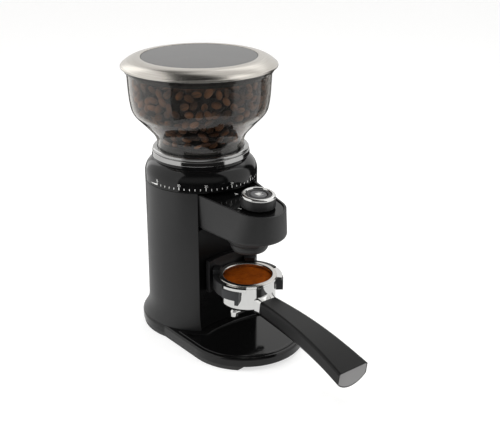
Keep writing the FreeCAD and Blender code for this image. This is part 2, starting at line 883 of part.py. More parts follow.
def lid_liner():
    """Plug under the lid that centres it in the mouth of the hopper."""
    points = [
        (56.0, WINDOW_TOP - 2.7),
        (56.0, 292.4),
        (69.0, 288.4),
        (69.0, 281.0),
        (71.4, 281.0),
        (71.4, 288.0),
        (79.0, 288.0),
        (79.0, 288.9),
        (70.4, 292.6),
        (WINDOW_R, WINDOW_TOP - 3.4),
        (WINDOW_R, WINDOW_TOP - 2.7),
    ]
    return turned_points(points)


# ---------------------------------------------------------------- gears, gearbox and motor

def involute(angle):
    return math.tan(angle) - angle


def spur_gear(teeth, module, z0, z1, bore, x, y, phase):
    """Involute spur gear with one tooth centred on the phase angle."""
    pitch_r = module * teeth / 2.0
    base_r = pitch_r * math.cos(PRESSURE_ANGLE)
    tip_r = pitch_r + 0.92 * module
    root_r = pitch_r - 1.2 * module
    half = math.pi / (2 * teeth) - 0.09 / pitch_r + involute(PRESSURE_ANGLE)
    start_r = max(base_r, root_r)
    flank = []
    for step in range(6):
        r = start_r + (tip_r - start_r) * step / 5.0
        flank.append((r, half - involute(math.acos(base_r / r))))
    if root_r < base_r:
        flank.insert(0, (root_r, flank[0][1]))
    points = []
    for tooth in range(teeth):
        centre = phase + 2 * math.pi * tooth / teeth
        sides = [(r, centre - a) for r, a in flank] + [(r, centre + a) for r, a in reversed(flank)]
        points += [(x + r * math.cos(a), y + r * math.sin(a)) for r, a in sides]
    gear = prism(polygon(points, vertical(z0)), z1 - z0)
    return gear.cut(cylinder(bore, z0 - 1, z1 + 1, x, y))


def output_gear():
    gear = spur_gear(OUTPUT_TEETH, SLOW_MODULE, 115.0, 123.0, SHAFT_R, 0.0, 0.0, IDLER_ANGLE)
    for x, y in on_circle(16.5, range(0, 360, 60)):
        gear = gear.cut(cylinder(5.0, 110.0, 130.0, x, y))
    return gear.fuse(tube(8.0, SHAFT_R, 123.0, 127.0))


def idler_gear():
    small_phase = IDLER_ANGLE + math.pi + math.pi / IDLER_SMALL_TEETH
    bore = AXLE_R + 0.05
    small = spur_gear(IDLER_SMALL_TEETH, SLOW_MODULE, 113.0, 124.0, bore, IDLER_X, IDLER_Y, small_phase)
    large = spur_gear(IDLER_TEETH, FAST_MODULE, 108.0, 113.0, bore, IDLER_X, IDLER_Y, MOTOR_ANGLE)
    return small.fuse(large)


def motor_pinion():
    phase = MOTOR_ANGLE + math.pi + math.pi / PINION_TEETH
    return spur_gear(PINION_TEETH, FAST_MODULE, 107.6, 113.6, MOTOR_SHAFT_R, MOTOR_X, MOTOR_Y, phase)


def idler_axle():
    return cylinder(AXLE_R, CASE_BOTTOM + 1.0, COVER_TOP - 1.0, IDLER_X, IDLER_Y)


def case_plan(radius, z0, z1):
    solid = cylinder(radius, z0, z1)
    return solid.cut(block(-BIG, BIG, -BIG, -35.0 - (radius - CASE_R), z0 - 1, z1 + 1))


def gearbox_case():
    case = case_plan(CASE_R, CASE_BOTTOM, CASE_TOP)
    case = case.cut(case_plan(CASE_R - WALL, CASE_BOTTOM + 3.0, CASE_TOP + 1))
    boss = tube(13.3, BEARING_R, CASE_BOTTOM + 2.0, 114.0)
    case = case.fuse(boss)
    case = case.cut(cylinder(MOTOR_HOLE_R, CASE_BOTTOM - 1, CASE_BOTTOM + 4, MOTOR_X, MOTOR_Y))
    case = case.cut(idler_axle())
    return case.cut(cylinder(BEARING_R, 107.0, 114.5))


def gearbox_cover():
    cover = case_plan(CASE_R, CASE_TOP, COVER_TOP)
    cover = cover.fuse(cylinder(14.0, COVER_TOP, 139.2))
    cover = cover.cut(cylinder(BEARING_R, 131.8, 140.0))
    cover = cover.cut(cylinder(6.0, CASE_TOP - 1, 140.0))
    cover = cover.cut(idler_axle())
    return cover.cut(gearbox_screws())


def gearbox_screws():
    """Four screws in the cover and two that hold the motor to the frame."""
    screws = []
    for x, y in on_circle(49.6, (-38.0, 50.0, 130.0, 218.0)):
        head = cylinder(2.6, COVER_TOP - 1.6, COVER_TOP, x, y)
        screws.append(head.fuse(cylinder(1.5, CASE_TOP, COVER_TOP - 1.6, x, y)))
    for x, y in on_circle(14.0, (35.0, 215.0), MOTOR_X, MOTOR_Y):
        screws.append(cylinder(1.5, MOTOR_TOP, CASE_BOTTOM, x, y))
    return group(screws)


def bearing(z0):
    """Ball bearing drawn as one ring with a shallow groove between its races."""
    ring = tube(BEARING_R, BEARING_BORE, z0, z0 + BEARING_WIDTH)
    groove = tube(8.8, 6.2, z0 + BEARING_WIDTH - 0.6, z0 + BEARING_WIDTH + 1)
    return ring.cut(groove)


def shaft_bearings():
    return group([bearing(107.0), bearing(131.9)])


def motor_can():
    can = tube(MOTOR_R, MOTOR_R - 1.6, MOTOR_BOTTOM, MOTOR_TOP, MOTOR_X, MOTOR_Y)
    lid = cylinder(MOTOR_R, MOTOR_TOP, FRAME_BOTTOM, MOTOR_X, MOTOR_Y)
    can = can.fuse(lid).cut(cylinder(2.6, 90.0, 101.0, MOTOR_X, MOTOR_Y))
    return can.cut(gearbox_screws())


def motor_end_cap():
    cap = cylinder(MOTOR_R, 31.0, MOTOR_BOTTOM, MOTOR_X, MOTOR_Y)
    hub = cylinder(6.0, 28.0, 31.0, MOTOR_X, MOTOR_Y)
    return cap.fuse(hub).cut(cylinder(2.6, 29.0, 35.0, MOTOR_X, MOTOR_Y))


def motor_magnets():
    outer = MOTOR_R - 1.7
    arcs = [sector(outer, 16.6, 44.0, 90.0, a, a + 140.0, MOTOR_X, MOTOR_Y) for a in (20.0, 200.0)]
    return group(arcs)


def motor_rotor():
    """Armature on the motor shaft, with its commutator at the lower end."""
    core = cylinder(16.0, 50.0, 86.0, MOTOR_X, MOTOR_Y)
    for index in range(5):
        slot = block(9.0, 18.0, -1.6, 1.6, 49.0, 87.0)
        slot.rotate(V(0, 0, 0), V(0, 0, 1), 72.0 * index)
        slot.translate(V(MOTOR_X, MOTOR_Y, 0))
        core = core.cut(slot)
    commutator = cylinder(6.0, 38.0, 46.0, MOTOR_X, MOTOR_Y)
    return joined([core, commutator, cylinder(MOTOR_SHAFT_R, 29.6, 114.5, MOTOR_X, MOTOR_Y)])


# ---------------------------------------------------------------- fork and switch

def fork_bracket():
    """Plate on the column with a half-round seat for the portafilter."""
    plate = block(-29.0, 29.0, -60.0, -35.0, 57.0, 92.0)
    plate = plate.common(recess_zone(0.0, 57.0, 92.0, 29.5))
    plate = plate.cut(recess_zone(6.4, 50.0, 95.0, 29.5))
    seat_end = 180.0 + FORK_END_ANGLE
    seat = sector(FORK_R, FORK_INNER_R, FORK_BOTTOM, FORK_TOP, -FORK_END_ANGLE, seat_end, 0.0, CUP_Y)
    plate = plate.fuse(seat)
    tab_bottom = RIM_TOP + 0.6
    for angle in (36.0, 122.0):
        end = angle + 22.0
        tab = sector(FORK_R, 28.6, tab_bottom, tab_bottom + 4.0, angle, end, 0.0, CUP_Y)
        post = sector(FORK_R, FORK_INNER_R, FORK_TOP, tab_bottom, angle, end, 0.0, CUP_Y)
        plate = plate.fuse(tab).fuse(post)
    plate = plate.cut(cylinder(FORK_INNER_R, 40.0, tab_bottom - 0.1, 0.0, CUP_Y))
    behind_wall = recess_zone(-20.0, 50.0, 95.0, 60.0).cut(recess_zone(0.0, 50.0, 95.0, 60.0))
    plate = plate.cut(behind_wall)
    plate = plate.cut(fork_screws())
    return plate.cut(plunger_pin(0.4)).removeSplitter()


def fork_arms():
    """Flexible tips that clip round the cup under its lugs."""
    angle0 = 180.0 + FORK_END_ANGLE
    angle1 = 180.0 + ARM_END_ANGLE
    arm = sector(ARM_R, ARM_INNER_R, FORK_BOTTOM, FORK_STEP, angle0, angle1, 0.0, CUP_Y)
    low = FORK_BOTTOM - 5.0
    tooth = sector(ARM_R, ARM_INNER_R, low, FORK_BOTTOM, angle1 - 7.0, angle1 - 1.0, 0.0, CUP_Y)
    arm = joined([arm, tooth])
    return group([arm, arm.mirror(V(0, 0, 0), V(1, 0, 0))])


def fork_screws():
    """Four screws of the same size that hold the bracket to the column."""
    solids = []
    for x in (-21.0, 21.0):
        for z in (61.5, 87.0):
            head = Part.makeCylinder(2.6, 1.6, V(x, -49.4, z), V(0, 1, 0))
            stem = Part.makeCylinder(1.5, 4.5, V(x, -48.0, z), V(0, 1, 0))
            solids.append(head.fuse(stem))
    return group(solids)


def pan_screws():
    """All the small screws of one size."""
    return group(gearbox_screws().Solids + fork_screws().Solids)


def plunger_rod(radius, y0, y1):
    """Cylinder on the axis of the switch plunger."""
    return Part.makeCylinder(radius, y1 - y0, V(0, y0, PLUNGER_Z), V(0, 1, 0))


def plunger_pin(clearance):
    return plunger_rod(3.0 + clearance, -49.9, -31.9)


def switch_plunger():
    """Sprung pin that the portafilter pushes in to start the grinder."""
    pin = plunger_pin(0.0)
    return pin.fuse(plunger_rod(4.6, -36.8, -35.6))


def microswitch():
    body = block(-10.0, 10.0, -28.0, -22.0, 56.0, 70.0)
    return body.fuse(block(-3.0, 3.0, -28.8, -28.0, 60.0, 65.0))


def plunger_spring():
    return plunger_rod(4.4, -35.5, -29.3).cut(plunger_rod(3.4, -36.0, -28.0))


# ---------------------------------------------------------------- portafilter

def handle_frame():
    """Direction of the handle and the upward direction square to it."""
    dy = HANDLE_END[0] - HANDLE_START[0]
    dz = HANDLE_END[1] - HANDLE_START[1]
    length = math.hypot(dy, dz)
    along = V(0, dy / length, dz / length)
    up = V(0, dz / length, -dy / length)
    return along, up, length


def handle_section(distance, lift, width, height, corner=HANDLE_CORNER):
    """Flat top, short sides and a bowed underside, lifted off the straight axis."""
    along, up, _ = handle_frame()
    centre = V(0, HANDLE_START[0], HANDLE_START[1]) + along * distance + up * lift
    w = width / 2.0
    t = height * 0.47
    side = -height * 0.12
    bottom = -height * 0.53
    k = corner * (1 - math.sqrt(0.5))

    def place(p):
        return centre + V(p[0], 0, 0) + up * p[1]
    steps = [
        ((w - k, t - k), (w, t - corner)),
        (w, side),
        ((0.0, bottom), (-w, side)),
        (-w, t - corner),
        ((-w + k, t - k), (-w + corner, t)),
        (w - corner, t),
    ]
    return wire((w - corner, t), steps, place)


def handle_bolt():
    along, up, _ = handle_frame()
    start = V(0, HANDLE_START[0], HANDLE_START[1]) - along * 6.0 + up * HANDLE_LIFT
    return Part.makeCylinder(3.5, 46.0, start, along)


def handle_grip():
    """Arched grip that widens towards its end."""
    _, _, length = handle_frame()
    stations = [
        (0.0, HANDLE_LIFT, NECK_WIDTH, NECK_HEIGHT),
        (0.25, 3.1, 24.8, 22.4),
        (0.5, 3.7, 28.3, 22.6),
        (0.75, 1.9, 32.3, 22.0),
        (1.0, HANDLE_END_LIFT, HANDLE_END_WIDTH, HANDLE_END_HEIGHT),
    ]
    sections = [handle_section(share * length, lift, w, h) for share, lift, w, h in stations]
    grip = Part.makeLoft(sections, True, False)
    grip = grip.cut(handle_end_cap())
    return grip.cut(handle_bolt())


def handle_end_cap():
    along, _, length = handle_frame()
    width = HANDLE_END_WIDTH - 2 * CAP_BORDER
    height = HANDLE_END_HEIGHT - 2 * CAP_BORDER
    outline = handle_section(length - CAP_DEPTH, HANDLE_END_LIFT, width, height, 2.0)
    return Part.Face(outline).extrude(along * CAP_DEPTH)


def portafilter_body():
    """Cast ring with two lugs, a bottom outlet and the neck for the handle."""
    start = (BASKET_R + 0.8, 79.4)
    steps = [
        (RIM_R - 0.2, 79.4),
        (RIM_R - 0.2, 77.2),
        (CUP_R, 76.4),
        (CUP_R, 55.0),
        ((27.9, 51.4), (24.4, CUP_BOTTOM)),
        (OUTLET_R + 1.2, CUP_BOTTOM),
        (OUTLET_R, OUTLET_BOTTOM),
        (OUTLET_BORE, OUTLET_BOTTOM),
        (OUTLET_BORE, 51.0),
        (24.0, 52.6),
        (BASKET_R + 0.8, 56.0),
        start,
    ]
    cup = turned(wire(start, steps, radial), 0.0, CUP_Y)
    lugs = []
    for angle in (189.0, 311.0):
        lugs.append(sector(LUG_R, CUP_R - 1.0, FORK_STEP + 0.4, 79.4, angle, angle + 40.0, 0.0, CUP_Y))
    neck = Part.makeLoft([
        handle_section(-9.0, HANDLE_LIFT, 27.0, 26.0, 4.0),
        handle_section(-4.0, HANDLE_LIFT, 23.0, 22.8, 3.4),
        handle_section(0.0, HANDLE_LIFT, NECK_WIDTH, NECK_HEIGHT),
    ], True, False)
    neck = neck.cut(cylinder(BASKET_R + 1.4, 40.0, 90.0, 0.0, CUP_Y))
    body = joined([cup] + lugs + [neck])
    return body.cut(handle_bolt())


def filter_basket():
    start = (RIM_R, 79.6)
    steps = [
        ((RIM_R, 80.7), (RIM_R - 0.9, RIM_TOP)),
        (27.0, RIM_TOP),
        ((25.9, 80.7), (BASKET_R - 0.8, 79.6)),
        (BASKET_R - 0.8, 60.0),
        (21.0, 55.0),
        (0.0, 55.0),
        (0.0, 54.2),
        (21.4, 54.2),
        (BASKET_R, 59.6),
        (BASKET_R, 79.6),
        start,
    ]
    return turned(wire(start, steps, radial), 0.0, CUP_Y)


def coffee_grounds():
    wide = BASKET_R - 0.9
    points = [
        (0.0, 55.1),
        (20.9, 55.1),
        (wide, 60.1),
        (wide, GROUNDS_TOP),
        (0.0, GROUNDS_TOP + 0.5),
    ]
    return turned_points(points, 0.0, CUP_Y)


def portafilter_spout():
    """Twin outlet screwed under the cup."""
    half = SPOUT_SPREAD / 2.0
    low = SPOUT_Z - 4.4

    def bar(radius):
        return Part.makeCylinder(radius, SPOUT_SPREAD, V(-half, CUP_Y, SPOUT_Z), V(1, 0, 0))
    hub = cylinder(OUTLET_R, SPOUT_Z, OUTLET_BOTTOM, 0.0, CUP_Y)
    spouts = [cylinder(SPOUT_R, low, SPOUT_Z, x, CUP_Y) for x in (-half, half)]
    ends = [Part.makeSphere(SPOUT_R, V(x, CUP_Y, SPOUT_Z)) for x in (-half, half)]
    spout = joined([hub, bar(SPOUT_R)] + spouts + ends)
    spout = spout.cut(bar(SPOUT_BORE))
    for x in (-half, half):
        spout = spout.cut(cylinder(SPOUT_BORE, low - 1, SPOUT_Z, x, CUP_Y))
    return spout.cut(cylinder(OUTLET_BORE, SPOUT_Z, OUTLET_BOTTOM + 1, 0.0, CUP_Y))


PIECES = [
    base_shell, bottom_plate, rubber_feet, base_screws, catch_tray, column_wrap, recess_panel,
    top_deck, inner_frame, cable_gland, power_board, head_housing, head_top_panel, spout_skirt,
    grounds_chute, timer_board, timer_knob, knob_bezel, start_button, button_spring, grind_ring,
    chrome_collar, upper_burr_carrier, ring_burr, cone_burr, burr_nut, burr_shaft, sweep_wheel,
    grinding_chamber, chamber_seal, hopper, hopper_funnel, coffee_beans, lid_rim, lid_window, lid_liner,
    output_gear, idler_gear, idler_axle, motor_pinion, gearbox_case, gearbox_cover, pan_screws,
    shaft_bearings, motor_can, motor_end_cap, motor_magnets, motor_rotor, fork_bracket,
    fork_arms, switch_plunger, microswitch, plunger_spring, portafilter_body, filter_basket,
    coffee_grounds, portafilter_spout, handle_bolt, handle_grip, handle_end_cap,
]


def main():
    os.makedirs("parts", exist_ok=True)
    for make in PIECES:
        shape = make().copy()
        shape.translate(V(0, COLUMN_Y, 0))
        shape.exportStep("parts/" + make.__name__ + ".step")


main()
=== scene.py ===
import bpy
import bmesh
import json
import math
import random
from mathutils import Matrix, Vector, noise


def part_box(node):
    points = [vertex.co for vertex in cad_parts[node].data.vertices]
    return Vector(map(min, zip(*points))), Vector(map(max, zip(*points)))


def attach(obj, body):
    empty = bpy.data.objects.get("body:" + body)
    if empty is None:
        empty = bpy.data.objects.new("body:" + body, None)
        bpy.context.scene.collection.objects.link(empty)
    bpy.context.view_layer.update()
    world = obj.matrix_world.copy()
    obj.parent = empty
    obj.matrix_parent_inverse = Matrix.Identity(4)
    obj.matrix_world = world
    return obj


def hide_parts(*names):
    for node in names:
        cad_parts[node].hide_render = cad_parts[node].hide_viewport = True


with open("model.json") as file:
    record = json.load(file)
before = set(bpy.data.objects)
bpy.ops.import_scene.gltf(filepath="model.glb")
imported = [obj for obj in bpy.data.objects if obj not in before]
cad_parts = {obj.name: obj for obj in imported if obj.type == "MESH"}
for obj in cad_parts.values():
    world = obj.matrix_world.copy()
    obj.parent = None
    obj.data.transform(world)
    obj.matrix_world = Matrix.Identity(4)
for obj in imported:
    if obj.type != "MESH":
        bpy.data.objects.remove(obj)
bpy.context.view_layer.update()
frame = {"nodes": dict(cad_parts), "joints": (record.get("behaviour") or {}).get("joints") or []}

MM = 0.001
RNG = random.Random(41)


# ---------------------------------------------------------------- places read from the frame

def middle(node):
    low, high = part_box(node)
    return (low + high) / 2


def joint(name):
    return next(j for j in frame["joints"] if j["name"] == name)


AXIS = middle("grind_ring")
CUP = middle("filter_basket")
RING_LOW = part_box("grind_ring")[0]
KNOB_AXIS = Vector(joint("knob_turn")["axis"]).normalized()
KNOB_FOOT = Vector(joint("knob_turn")["pos_m"])


# ---------------------------------------------------------------- mesh helpers

def mesh_object(name, bm, smooth_angle=35.0):
    """Object from a bmesh, smooth except where faces meet at a sharp angle."""
    bmesh.ops.recalc_face_normals(bm, faces=bm.faces)
    data = bpy.data.meshes.new(name)
    bm.to_mesh(data)
    bm.free()
    data.shade_smooth()
    data.set_sharp_from_angle(angle=math.radians(smooth_angle))
    obj = bpy.data.objects.new(name, data)
    bpy.context.scene.collection.objects.link(obj)
    return obj


def finish_piece(obj, body, slot, material=None):
    obj.data.materials.append(material or MATERIALS[slot])
    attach(obj, body)
    return obj


def slab(bm, corners, low, high):
    """Closed prism: corners are points of a flat outline, low and high map one to its two ends."""
    bottom = [bm.verts.new(low(p)) for p in corners]
    top = [bm.verts.new(high(p)) for p in corners]
    count = len(corners)
    for i in range(count):
        j = (i + 1) % count
        bm.faces.new((bottom[i], bottom[j], top[j], top[i]))
    bm.faces.new(top)
    bm.faces.new(list(reversed(bottom)))


# ---------------------------------------------------------------- materials

class Nodes:
    """Short names for building one material's node tree."""

    def __init__(self, name):
        self.material = bpy.data.materials.new(name)
        self.material.use_nodes = True
        self.tree = self.material.node_tree
        self.shader = self.tree.nodes["Principled BSDF"]
        self.coord = self.add("ShaderNodeTexCoord").outputs["Object"]

    def add(self, kind, inputs=(), **settings):
        node = self.tree.nodes.new(kind)
        for key, value in settings.items():
            setattr(node, key, value)
        for key, value in dict(inputs).items():
            self.put(node.inputs[key], value)
        return node

    def put(self, socket, value):
        if isinstance(value, bpy.types.NodeSocket):
            self.tree.links.new(value, socket)
        else:
            socket.default_value = value

    def noise(self, scale, detail=3.0, vector=None):
        inputs = {"Vector": vector or self.coord, "Scale": scale, "Detail": detail}
        return self.add("ShaderNodeTexNoise", inputs).outputs["Fac"]

    def span(self, value, low, high, start=0.3, end=0.7):
        inputs = {0: value, 1: start, 2: end, 3: low, 4: high}
        return self.add("ShaderNodeMapRange", inputs).outputs[0]

    def tint(self, value, dark, light, start=0.3, end=0.7):
        ramp = self.add("ShaderNodeValToRGB", {0: value})
        ramp.color_ramp.elements[0].position = start
        ramp.color_ramp.elements[0].color = (*dark, 1)
        ramp.color_ramp.elements[1].position = end
        ramp.color_ramp.elements[1].color = (*light, 1)
        return ramp.outputs["Color"]

    def blend(self, share, first, second):
        """Colour between first and second; sockets 6 and 7 are the two colours."""
        inputs = {0: share, 6: first, 7: second}
        return self.add("ShaderNodeMix", inputs, data_type="RGBA").outputs[2]

    def math(self, operation, a, b=0.0):
        return self.add("ShaderNodeMath", {0: a, 1: b}, operation=operation).outputs[0]

    def bump(self, height, strength, distance, edge=0.0):
        inputs = {"Height": height, "Strength": strength, "Distance": distance}
        if edge:
            inputs["Normal"] = self.add("ShaderNodeBevel", {"Radius": edge}, samples=4).outputs[0]
        self.put(self.shader.inputs["Normal"], self.add("ShaderNodeBump", inputs).outputs[0])

    def set(self, **values):
        for key, value in values.items():
            self.put(self.shader.inputs[key.replace("_", " ")], value)


def shades(colour, spread):
    return tuple(c * (1 - spread) for c in colour), tuple(min(1.0, c * (1 + spread)) for c in colour)


def moulded(name, colour, rough, spread=0.12, grain=900.0, relief=0.08, edge=0.35, specular=0.5):
    """Injection-moulded or painted plastic: faint clouds of tone, fine grain, eased edges in mm."""
    n = Nodes(name)
    clouds = n.noise(22.0, 4.0)
    fine = n.noise(grain, 3.0)
    n.set(Base_Color=n.tint(clouds, *shades(colour, spread)))
    mixed = n.math("ADD", n.math("MULTIPLY", clouds, 0.5), n.math("MULTIPLY", fine, 0.5))
    n.set(Roughness=n.span(mixed, rough * 0.86, rough * 1.16))
    n.shader.inputs["Specular IOR Level"].default_value = specular
    n.bump(fine, relief, 0.0002, edge * MM)
    return n.material


def metal(name, colour, rough, spread=0.06, grain=500.0, relief=0.03, edge=0.3, stretch=(1.0, 1.0, 0.08)):
    """Bare or plated metal: faint drawn marks along one way."""
    n = Nodes(name)
    marks = n.add("ShaderNodeVectorMath", {0: n.coord, 1: stretch}, operation="MULTIPLY").outputs[0]
    fine = n.noise(grain, 4.0, marks)
    clouds = n.noise(18.0, 3.0)
    n.set(Base_Color=n.tint(clouds, *shades(colour, spread)))
    n.set(Roughness=n.span(fine, rough * 0.8, rough * 1.25))
    n.shader.inputs["Metallic"].default_value = 1.0
    n.bump(fine, relief, 0.0001, edge * MM)
    return n.material


def polar(n, centre):
    """Radius from a vertical axis, angle around it and height, in metres and radians."""
    origin = (centre.x, centre.y, 0.0)
    local = n.add("ShaderNodeVectorMath", {0: n.coord, 1: origin}, operation="SUBTRACT").outputs[0]
    parts = n.add("ShaderNodeSeparateXYZ", {0: local})
    x, y = parts.outputs[0], parts.outputs[1]
    square = n.math("ADD", n.math("MULTIPLY", x, x), n.math("MULTIPLY", y, y))
    return n.math("SQRT", square), n.math("ARCTAN2", y, x), parts.outputs[2]


BRUSH_ACROSS = 2600.0
BRUSH_ALONG = 1.6


def brushed_lid():
    """Stainless steel brushed round the lid's own axis."""
    n = Nodes("lid_steel_look")
    radius, angle, height = polar(n, AXIS)
    lines = n.add("ShaderNodeCombineXYZ", {
        0: n.math("MULTIPLY", radius, BRUSH_ACROSS),
        1: n.math("MULTIPLY", angle, BRUSH_ALONG),
        2: n.math("MULTIPLY", height, BRUSH_ACROSS),
    }).outputs[0]
    brush = n.noise(1.0, 5.0, lines)
    clouds = n.noise(12.0, 3.0)
    n.set(Base_Color=n.tint(brush, (0.53, 0.50, 0.46), (0.68, 0.65, 0.60)))
    mixed = n.math("ADD", n.math("MULTIPLY", brush, 0.6), n.math("MULTIPLY", clouds, 0.4))
    n.set(Roughness=n.span(mixed, 0.17, 0.27))
    n.shader.inputs["Metallic"].default_value = 1.0
    n.shader.inputs["Anisotropic"].default_value = 0.55
    n.set(Tangent=n.add("ShaderNodeTangent", direction_type="RADIAL", axis="Z").outputs[0])
    n.bump(brush, 0.10, 0.00012, 0.25 * MM)
    return n.material


def smoked(name, colour, rough, tone=0.06, specular=0.5):
    """Tinted clear plastic with faint haze and handling marks."""
    n = Nodes(name)
    clouds = n.noise(16.0, 5.0)
    fine = n.noise(260.0, 3.0)
    n.set(Base_Color=n.tint(clouds, *shades(colour, tone)))
    n.set(Roughness=n.span(clouds, rough * 0.5, rough * 1.6))
    n.shader.inputs["Transmission Weight"].default_value = 1.0
    n.shader.inputs["IOR"].default_value = 1.49
    n.shader.inputs["Specular IOR Level"].default_value = specular
    n.bump(fine, 0.012, 0.0001)
    return n.material


# Near-black brown, painted as shade on beans deep in the heap.
PAINTED_SHADE_BROWN = (0.004, 0.0015, 0.0008, 1)
SEAM_TAN = (0.30, 0.17, 0.09, 1)


def bean_skin():
    """Roasted bean: its own tone, a pale crease, and painted shade darkening it where it lies deep in the
    heap.
    """
    n = Nodes("bean_look")
    tone = n.add("ShaderNodeAttribute", attribute_name="tone").outputs["Fac"]
    crease = n.add("ShaderNodeAttribute", attribute_name="crease").outputs["Fac"]
    mottle = n.noise(420.0, 4.0)
    fine = n.noise(1500.0, 3.0)
    mixed = n.math("ADD", n.math("MULTIPLY", tone, 0.7), n.math("MULTIPLY", mottle, 0.3))
    skin = n.tint(mixed, (0.165, 0.063, 0.026), (0.70, 0.340, 0.170), 0.15, 0.85)
    seam = n.blend(crease, skin, SEAM_TAN)
    # Painted shade: the 'open' attribute, 1 at the heap's skin and 0 deep inside, blends the bean towards
    # near-black brown.
    painted_light = n.add("ShaderNodeAttribute", attribute_name="open").outputs["Fac"]
    share = n.math("POWER", painted_light, 1.1)
    n.set(Base_Color=n.blend(share, PAINTED_SHADE_BROWN, seam), Roughness=n.span(mottle, 0.26, 0.44))
    n.bump(fine, 0.25, 0.0003)
    return n.material


def ground_look():
    """Ground coffee: fine grains and cells over wider patches of tone."""
    n = Nodes("grounds_look")
    grain = n.noise(1400.0, 6.0)
    cells = n.add("ShaderNodeTexVoronoi", {"Vector": n.coord, "Scale": 1500.0}).outputs["Distance"]
    patch = n.noise(90.0, 4.0)
    mixed = n.math("ADD", n.math("MULTIPLY", grain, 0.65), n.math("MULTIPLY", patch, 0.35))
    n.set(Base_Color=n.tint(mixed, (0.085, 0.015, 0.001), (0.44, 0.095, 0.006), 0.33, 0.66))
    n.set(Roughness=n.span(grain, 0.75, 0.95))
    n.shader.inputs["Specular IOR Level"].default_value = 0.03
    n.bump(n.math("ADD", grain, cells), 0.8, 0.0005)
    return n.material


def striped(name, colour, other, scale, rough):
    """Copper windings, circuit board copper or felt: two tones mixed by a fine pattern."""
    n = Nodes(name)
    inputs = {"Vector": n.coord, "Scale": scale, "Distortion": 6.0, "Detail": 3.0}
    wave = n.add("ShaderNodeTexWave", inputs).outputs["Fac"]
    fine = n.noise(scale * 3.0, 4.0)
    n.set(Base_Color=n.tint(n.math("MULTIPLY", wave, fine), colour, other, 0.1, 0.6))
    n.set(Roughness=n.span(fine, rough * 0.8, rough * 1.2))
    n.bump(wave, 0.3, 0.0003, 0.3 * MM)
    return n.material


def print_white():
    """White printing ink with faint specks."""
    n = Nodes("print_look")
    speck = n.noise(1800.0, 2.0)
    n.set(Base_Color=n.tint(speck, (0.62, 0.62, 0.60), (0.78, 0.78, 0.76)))
    n.set(Roughness=n.span(speck, 0.45, 0.6))
    n.bump(speck, 0.05, 0.0001)
    return n.material


def grey(level, blue=0.0):
    return (level, level, level + blue)


MATERIALS = {
    "gloss_black": moulded(
        "gloss_black_look", grey(0.0035, 0.0001), 0.09, relief=0.012, grain=240.0, edge=0.5, specular=0.36),
    "satin_black": moulded(
        "satin_black_look", grey(0.0158, 0.0003), 0.36, relief=0.10, edge=0.45, specular=0.36),
    # Black plastic of the recess panel, made darker still as painted shade for the recess.
    "panel_black": moulded(
        "panel_black_painted_shade_look", grey(0.0028, 0.0001), 0.30, relief=0.05, edge=0.4, specular=0.08),
    "satin_charcoal": moulded(
        "satin_charcoal_look", grey(0.0175, 0.0003), 0.44, relief=0.16, edge=0.6, specular=0.36),
    "fork_grey": moulded(
        "fork_grey_look", (0.024, 0.025, 0.027), 0.44, relief=0.14, edge=0.4, specular=0.4),
    "rubber_black": moulded("rubber_look", grey(0.030), 0.72, relief=0.35, edge=0.5),
    "lid_steel": brushed_lid(),
    "smoked_window": smoked("smoked_window_look", (0.060, 0.058, 0.055), 0.05, specular=0.30),
    "smoked_hopper": smoked("smoked_hopper_look", (0.34, 0.325, 0.305), 0.03),
    "chrome": metal("chrome_look", (0.74, 0.74, 0.73), 0.06, spread=0.02, relief=0.012),
    "steel": metal("steel_look", (0.52, 0.51, 0.49), 0.30),
    "burr_steel": metal("burr_look", grey(0.36), 0.36, relief=0.08),
    "nylon_white": moulded("nylon_look", (0.62, 0.60, 0.54), 0.42, spread=0.05),
    "board_green": striped("board_look", (0.012, 0.075, 0.030), (0.05, 0.16, 0.07), 420.0, 0.45),
    "felt_grey": striped("felt_look", (0.16, 0.155, 0.15), (0.27, 0.265, 0.255), 900.0, 0.95),
    "copper_core": striped("copper_look", (0.42, 0.16, 0.065), (0.62, 0.27, 0.13), 600.0, 0.38),
    "magnet_grey": moulded("magnet_look", grey(0.060, 0.004), 0.55, relief=0.3),
    "bean_brown": bean_skin(),
    "ground_coffee": ground_look(),
    "basket_steel": metal("basket_look", (0.66, 0.64, 0.61), 0.20),
    "grip_black": moulded(
        "grip_look", grey(0.0048, 0.0001), 0.33, relief=0.22, grain=1300.0, edge=0.5, specular=0.24),
    "cap_grey": moulded("cap_look", (0.19, 0.188, 0.188), 0.55, spread=0.07, relief=0.2),
    "button_grey": moulded("button_look", grey(0.085, 0.003), 0.36, relief=0.1),
}
PRINT = print_white()
HEAP_SHADOW = moulded("bean_shadow_look", (0.010, 0.004, 0.002), 0.8, specular=0.1)
NODE_LOOKS = {
    "chrome_collar": metal(
        "collar_look", (0.40, 0.40, 0.395), 0.09, spread=0.03, relief=0.02, stretch=(1.0, 1.0, 8.0)),
    # Painted shade: the fork bracket in the recess gets a darker copy of the fork's grey.
    "fork_bracket": moulded(
        "bracket_painted_shade_look", grey(0.010, 0.0005), 0.42, relief=0.14, edge=0.4, specular=0.3),
}

for name, node in frame["nodes"].items():
    slot_name = node.data.materials[0].name
    node.data.materials[0] = NODE_LOOKS.get(name) or MATERIALS[slot_name]
for name in ("hopper", "lid_window"):
    frame["nodes"][name].visible_shadow = False


# ---------------------------------------------------------------- beans in the hopper

FLAT_SHARE = 0.42
CREASE_WIDTH = 0.17
CREASE_DEPTH = 0.34


